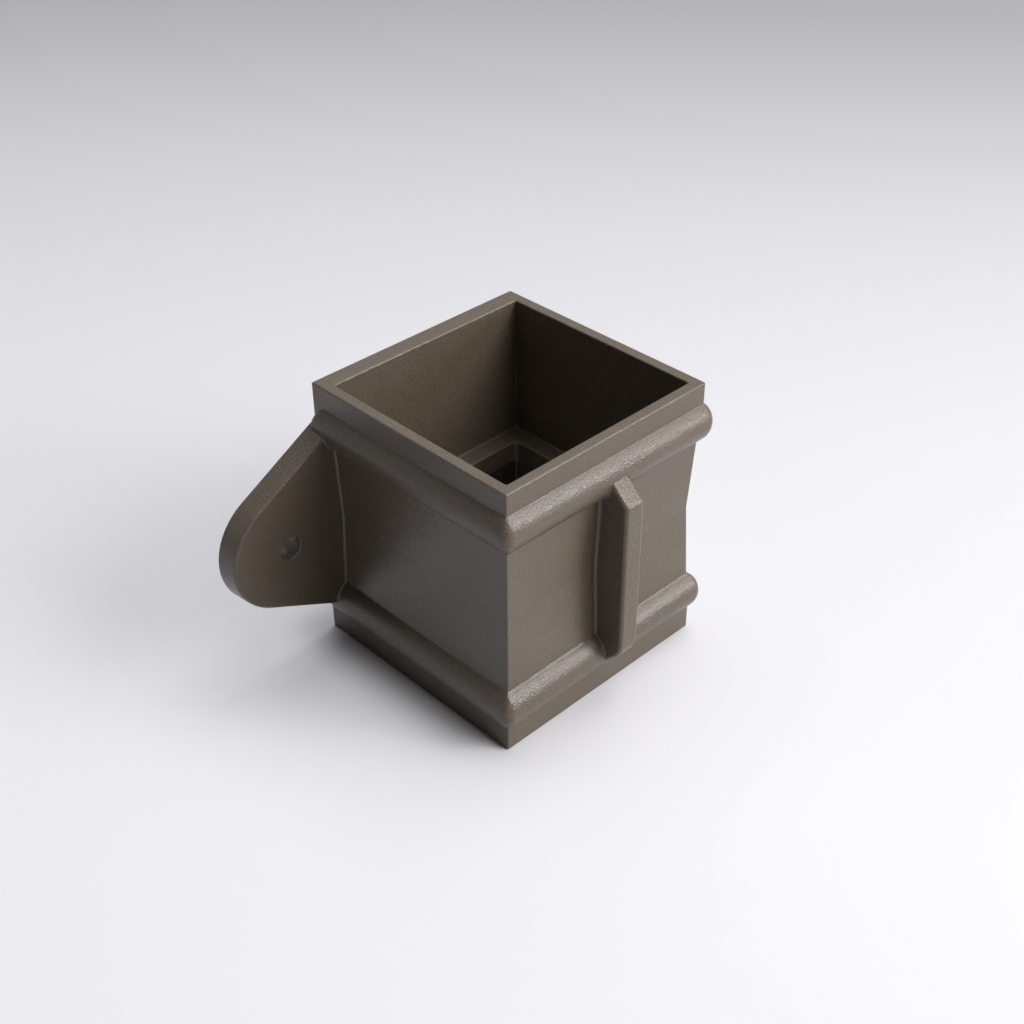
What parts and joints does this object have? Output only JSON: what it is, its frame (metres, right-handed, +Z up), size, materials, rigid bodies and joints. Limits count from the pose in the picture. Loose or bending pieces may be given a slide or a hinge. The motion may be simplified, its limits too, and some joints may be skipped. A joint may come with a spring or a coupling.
{
  "type": "downpipe socket",
  "caption": "Square downpipe socket, cast with two ears for fixing to a wall, beads round both ends, waisted panels, a front fin and an inner stop between its two sockets.",
  "frame": {"origin": "on the wall face, midway between the two fixing holes", "axes": "+X along the wall to the right as seen from the front, +Y into the wall, +Z up along the pipe"},
  "size_m": [0.1772, 0.1002, 0.102],
  "materials": {
    "powder_coat": "satin, fine-grained powder coat on cast aluminium"
  },
  "bodies": {
    "root": {"socket_casting": "powder_coat"}
  },
  "joints": []
}
